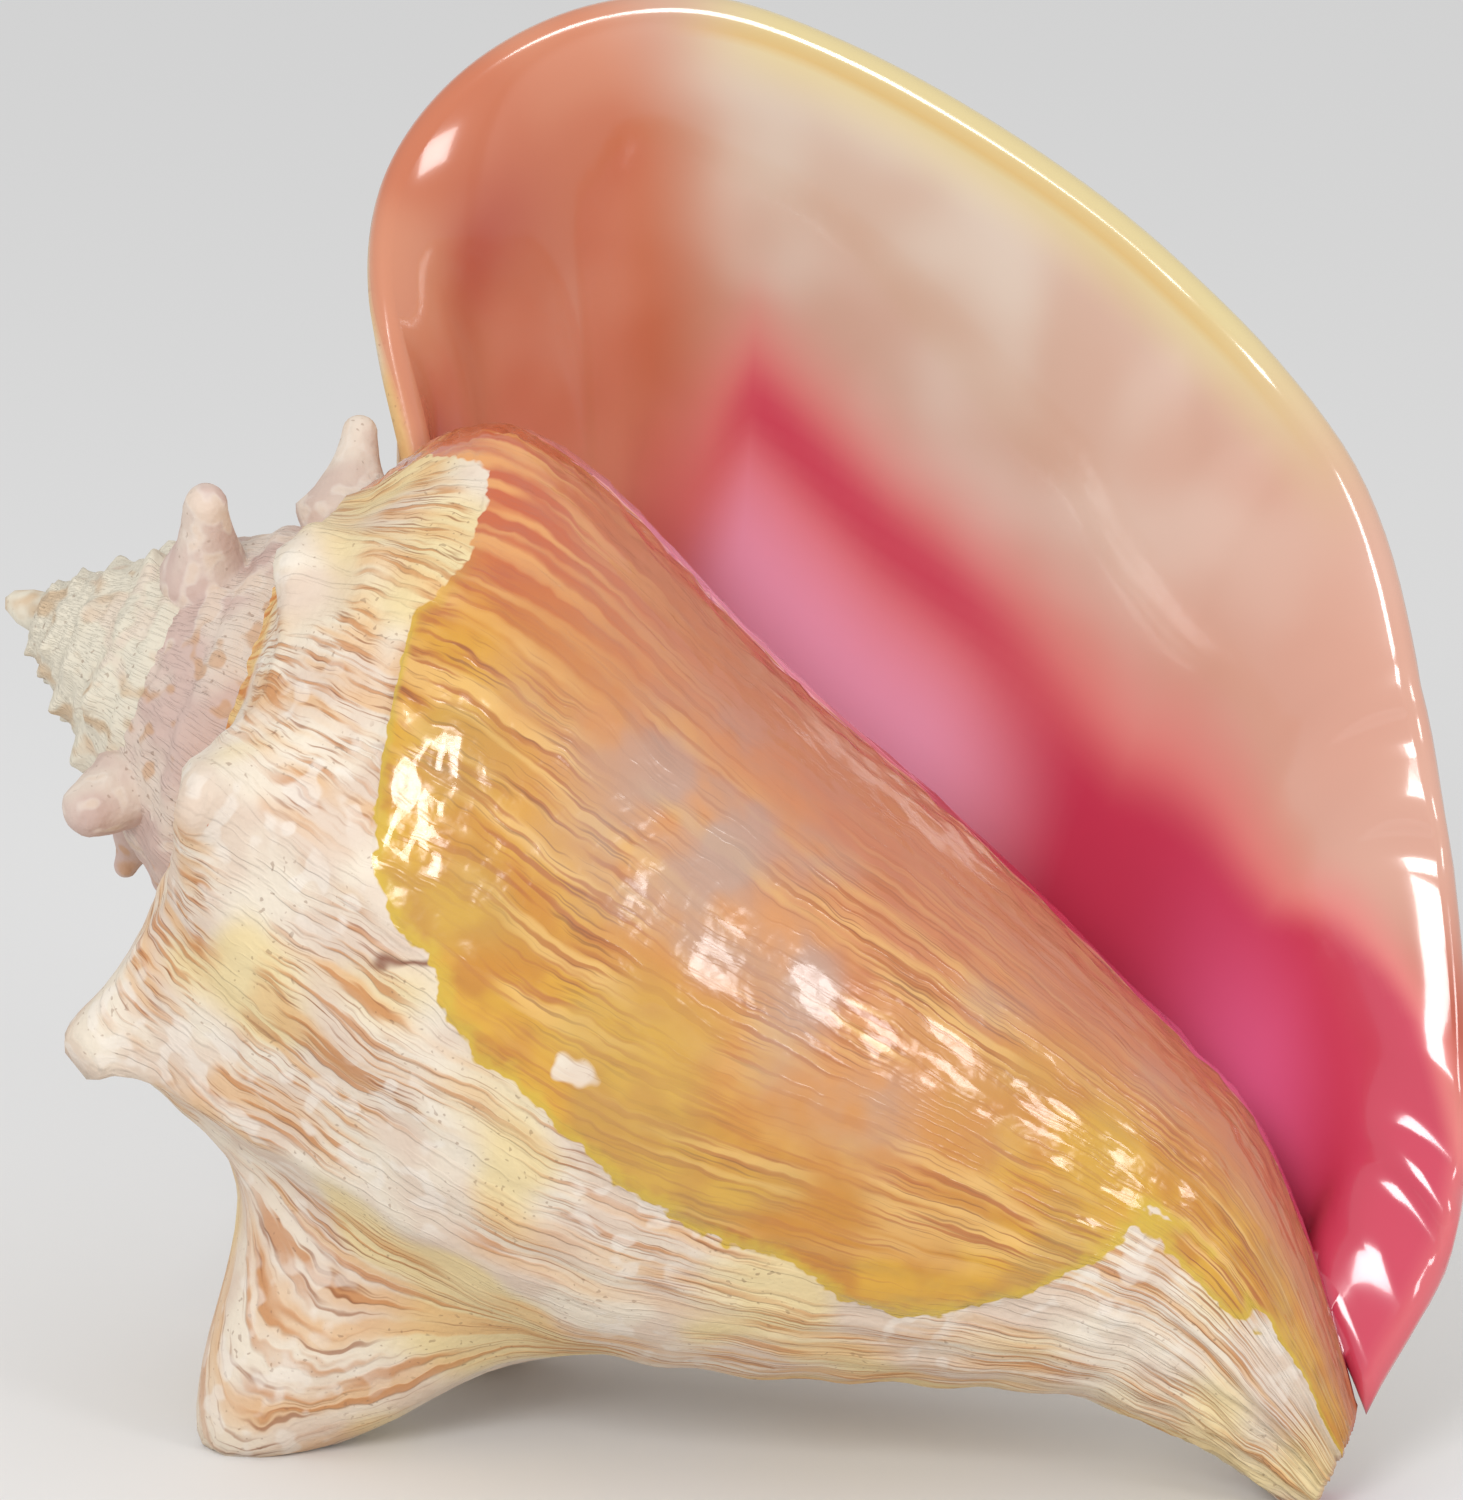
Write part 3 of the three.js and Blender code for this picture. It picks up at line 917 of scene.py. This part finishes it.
# %% [markdown]
# The outside is chalky and worn: pinkish white with yellow patches, and brown growth streaks in three
# widths, the finest the darkest. The spire is older and greyer than the last whorl, a band of orange
# stripes follows the suture, and one crack was healed while the animal lived. Thin layers, each over the
# last, are easier to judge than one formula.

# %% Chalky outside
OLD_FROM = -2.1
CRACK_AT = -0.569
CRACK_SLANT = 0.34
CRACK_HALF = 0.003

chalk = finish.blend(over(middle, 0.35, 0.65), colour(212, 192, 174), colour(224, 212, 194))
chalk = finish.blend(over(large, 0.48, 0.64) * 0.8, chalk, colour(224, 202, 146))
chalk = finish.blend(streak_patch * broad_streak * 0.6, chalk, colour(214, 164, 104))
chalk = finish.blend(streak_patch * fine_streak * 0.75, chalk, colour(186, 122, 66))
chalk = finish.blend(streak_patch * hair_streak * 0.7, chalk, colour(142, 84, 46))

# The whorls of the spire are older: greyish pink, and cream with tan spots at the top.
old = finish.blend(over(middle, 0.4, 0.65), colour(198, 172, 162), colour(212, 196, 182))
old = finish.blend(over(small, 0.56, 0.66) * 0.6, old, colour(192, 144, 98))
apex_cream = finish.blend(over(small, 0.5, 0.66) * 0.6, colour(216, 208, 190), colour(190, 152, 108))
old = finish.blend(finish.step(turn, OLD_FROM, OLD_FROM + 0.15), apex_cream, old)
chalk = finish.blend(finish.step(turn, -1.02, -0.97), old, chalk)

# A band of orange stripes follows the suture of the last two whorls.
band = (1 - finish.step(along, 0.04, 0.06)) * finish.step(turn, -1.9, -1.7)
band_colour = finish.blend(broad_streak, colour(226, 190, 128), colour(202, 130, 64))
chalk = finish.blend(band, chalk, band_colour)

# Small pits, and patches where the sea has worn the chalk white.
chalk = finish.blend(pores * 0.45, chalk, colour(128, 92, 68))
worn = over(1 - large, 0.5, 0.6) * over(small, 0.52, 0.62)
chalk = finish.blend(worn * 0.5, chalk, colour(230, 222, 212))

# One old crack was healed beside the callus.
wave = finish.node("ShaderNodeMath", {"operation": "SINE"}, {0: along * 160})
crack_place = turn + along * CRACK_SLANT + wave * 0.0012 + small * 0.012
crack = 1 - finish.step(crack_place, CRACK_AT, CRACK_AT + CRACK_HALF)
crack = crack * finish.step(crack_place, CRACK_AT - CRACK_HALF, CRACK_AT)
crack = crack * finish.step(along, 0.365, 0.375) * (1 - finish.step(along, 0.43, 0.445))
chalk = finish.blend(crack * 0.85, chalk, colour(120, 62, 36))
print("chalk ready:", len(finish.tree.nodes), "nodes")

# %% [markdown]
# The callus is a thin layer of clear honey-coloured shell, so the streaks under it show through. It is
# yellow-green at its ragged rim, golden inside and peach with grey clouds in the middle. Next to the
# opening, on the parietal wall, it turns a plain brown pink, and red-orange at the top. Two noises of
# different size roughen the painted distance from the edge, which gives both bays and crumbs.

# %% Honey callus
BARE_TURN = -0.706
BARE_ALONG = 0.494

ragged = glaze + (finish.noise(solid, 110, 2) - 0.5) * 9 + (finish.noise(solid, 600, 1) - 0.5) * 2.5
inner = finish.step(ragged, 10, 45)

# One small round patch stayed bare.
across_turn = (turn - BARE_TURN) * TURN_LENGTH
across_section = (along - BARE_ALONG) * SECTION_LENGTH
from_bare = across_turn * across_turn + across_section * across_section + small * 26
bare = 1 - finish.step(from_bare, 15, 20)
callus = finish.step(ragged, -0.3, 0.3) * (1 - bare)

# Golden rim and peach middle, with the streaks of the wall below.
honey = finish.blend(over(middle, 0.4, 0.6), colour(190, 128, 38), colour(206, 154, 44))
peach = finish.blend(over(middle, 0.4, 0.6), colour(202, 138, 86), colour(190, 118, 78))
honey = finish.blend(inner, honey, peach)
honey = finish.blend(streak_patch * broad_streak * 0.7, honey, colour(224, 180, 108))
honey = finish.blend(streak_patch * fine_streak * 0.75, honey, colour(168, 92, 36))
honey = finish.blend(fine_streak * 0.3, honey, colour(170, 100, 44))
honey = finish.blend(streak_patch * hair_streak * 0.6, honey, colour(122, 66, 30))

# Grey clouds, an olive tint and the yellow-green rim.
clouds = over(large, 0.42, 0.62) * over(middle, 0.3, 0.58) * inner
honey = finish.blend(clouds * 0.75, honey, colour(176, 152, 138))
honey = finish.blend(over(1 - large, 0.5, 0.62) * (1 - inner) * 0.4, honey, colour(182, 152, 76))
honey = finish.blend((1 - finish.step(ragged, 0.3, 3.5)) * 0.8, honey, colour(202, 170, 52))

# The wall beside the opening.
parietal = 1 - finish.step(turn + large * 0.05, -0.875, -0.775)
honey = finish.blend(parietal * 0.9, honey, colour(184, 106, 74))
top_of_wall = (1 - finish.step(along, 0.34, 0.5)) * (1 - finish.step(turn, -0.88, -0.8))
top_colour = finish.blend(broad_streak, colour(190, 88, 48), colour(222, 156, 92))
honey = finish.blend(top_of_wall * 0.85, honey, top_colour)
print("callus ready:", len(finish.tree.nodes), "nodes")

# %% [markdown]
# The opening is polished porcelain whose colours melt into each other, so there are no streaks here, only
# one cloudy pattern under soft bands. The order matters: beige first, then the cream margin with its golden
# line, the terracotta shoulder, and last the rose depth with its crimson border and lilac core.

# %% Opening
cloudy = over(large, 0.32, 0.68)
pearl = finish.blend(cloudy, colour(192, 160, 138), colour(204, 188, 170))
pearl = finish.blend(finish.step(along, 0.5, 0.76) * 0.8, pearl, colour(208, 150, 130))
pearl = finish.blend(finish.mark("cream"), pearl, colour(208, 190, 138))
pearl = finish.blend(finish.mark("golden") * 0.8, pearl, colour(202, 154, 62))
terracotta = finish.blend(cloudy, colour(190, 108, 74), colour(200, 130, 98))
# Deeper in, the terracotta turns lighter and pinker: partly its own colour, partly painted light where the
# deep opening lies in shade.
terracotta = finish.blend(1 - finish.step(turn, -0.2, -0.05), terracotta, colour(222, 146, 116))
pearl = finish.blend(finish.mark("terracotta"), pearl, terracotta)
pearl = finish.blend(finish.mark("ember"), pearl, colour(174, 76, 52))
rose = finish.mark("rose")
# The rose and the lilac below are the shell's own colours, painted lighter as painted light in the shaded
# depth of the opening.
pearl = finish.blend(rose, pearl, colour(224, 124, 120))
pearl = finish.blend(finish.mark("crimson") * rose, pearl, colour(196, 58, 84))
pearl = finish.blend(finish.mark("lilac"), pearl, colour(240, 166, 192))
pearl = finish.blend(finish.mark("hot"), pearl, colour(222, 98, 140))
print("opening ready:", len(finish.tree.nodes), "nodes")

# %% [markdown]
# The three colours meet in one Principled shader. Gloss comes from a coat over the callus and the opening,
# as on the real glaze, while the chalk stays dull. The bump adds only the finest grain. It reads the
# cheapest patterns, because it needs every value three times.

# %% One skin
CHALK_ROUGHNESS = 0.72
GLAZE_POLISH = 0.50
NACRE_POLISH = 0.06
COAT = 0.6
GRAIN_DEPTH = 0.4 * MM

base = finish.blend(nacre, finish.blend(callus, chalk, honey), pearl)
gloss = finish.node("ShaderNodeMath", {"operation": "MAXIMUM"}, {0: callus, 1: nacre})
roughness = CHALK_ROUGHNESS - gloss * GLAZE_POLISH - nacre * NACRE_POLISH
glazed = finish.step(glaze, -0.5, 0.5)
grain = fine_streak * 0.5 + finish.noise(solid, 900, 1) * 0.6
grain = grain * (1 - glazed * 0.75) + finish.noise(solid, 330, 1) * glazed * 1.1
grain_inputs = {"Height": grain * (1 - nacre), "Strength": 0.7, "Distance": GRAIN_DEPTH}
surface = finish.node("ShaderNodeBump", {}, grain_inputs)
skin = finish.node("ShaderNodeBsdfPrincipled", {}, {
    "Base Color": base,
    "Roughness": roughness,
    "Coat Weight": gloss * COAT,
    "Coat Roughness": 0.06,
    "Normal": surface,
})
output = finish.tree.nodes.new("ShaderNodeOutputMaterial")
finish.tree.links.new(skin.socket, output.inputs["Surface"])
shell.data.materials.append(finish.material)
print("shell finish:", len(finish.tree.nodes), "nodes")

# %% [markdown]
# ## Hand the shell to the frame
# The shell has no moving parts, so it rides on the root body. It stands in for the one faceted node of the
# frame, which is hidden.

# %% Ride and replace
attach(shell, "root")
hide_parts("conch_shell")
print(shell.name, "rides on root and replaces conch_shell")

# %% [markdown]
# ## Floor and light
# A plain pale floor and an even white surrounding show the colours as they are. On its own that would
# leave the glaze flat, so two area lights in front add the small bright reflections by which the eye tells
# porcelain from chalk.

# %% Stage
FLOOR_HALF = 3
SURROUNDING = 0.78
LIT_POINT = Vector((0, 0, 0.1))

floor_mesh = bpy.data.meshes.new("floor")
sheet = bmesh.new()
bmesh.ops.create_grid(sheet, x_segments=1, y_segments=1, size=FLOOR_HALF)
sheet.to_mesh(floor_mesh)
sheet.free()
floor = bpy.data.objects.new("floor", floor_mesh)
bpy.context.scene.collection.objects.link(floor)

world = bpy.data.worlds.new("studio")
world.use_nodes = True
backdrop = world.node_tree.nodes["Background"]
backdrop.inputs["Color"].default_value = (1, 1, 1, 1)
backdrop.inputs["Strength"].default_value = SURROUNDING
bpy.context.scene.view_settings.view_transform = "Standard"
bpy.context.scene.world = world


def soft_light(name, at, size, power):
    """An area light at a place in metres, facing the shell."""
    data = bpy.data.lights.new(name, "AREA")
    data.size = size
    data.energy = power
    lamp = bpy.data.objects.new(name, data)
    lamp.location = at
    lamp.rotation_euler = (LIT_POINT - Vector(at)).to_track_quat("-Z", "Y").to_euler()
    bpy.context.scene.collection.objects.link(lamp)


soft_light("key", (-0.35, -1.2, 0.75), 0.4, 8)
soft_light("fill", (0.9, -0.9, 0.5), 0.3, 3)
print("lights:", [lamp.name for lamp in bpy.data.lights])

# %% [markdown]
# ## Last update
# The view layer is updated once more, so that every placed point is current.

# %% Update
bpy.context.view_layer.update()
